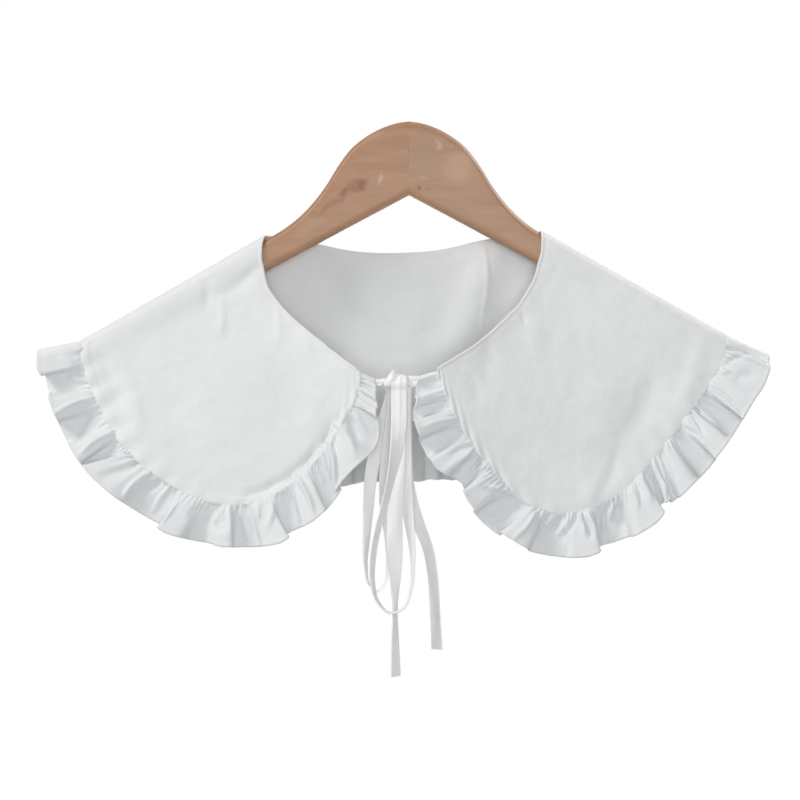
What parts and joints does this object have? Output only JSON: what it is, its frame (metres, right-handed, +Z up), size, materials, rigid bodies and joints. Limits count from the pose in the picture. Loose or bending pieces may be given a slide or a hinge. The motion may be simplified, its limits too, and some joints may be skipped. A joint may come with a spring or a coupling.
{
  "type": "false collar on a wooden hanger",
  "caption": "White cotton false collar with a gathered ruffle round its edge, tied at the front in a bow, on a flat wooden hanger.",
  "frame": {"origin": "top of the hanger's crown, where it hangs", "axes": "+X along the hanger from its left arm to its right arm as seen from the front, front towards -Y, +Z up"},
  "size_m": [0.452, 0.0801, 0.3413],
  "materials": {
    "wood": "satin",
    "cotton": "matte",
    "ribbon": "matte"
  },
  "bodies": {
    "root": {"hanger_left": "wood", "hanger_right": "wood", "collar_front_left": "cotton", "collar_front_right": "cotton", "collar_back": "cotton", "ruffle_front_left": "cotton", "ruffle_front_right": "cotton", "ruffle_back": "cotton", "tie_left_span": "ribbon", "tie_left_loop": "ribbon", "tie_left_tail": "ribbon", "tie_right_span": "ribbon", "tie_right_loop": "ribbon", "tie_right_tail": "ribbon", "bow_knot": "ribbon"}
  },
  "joints": []
}
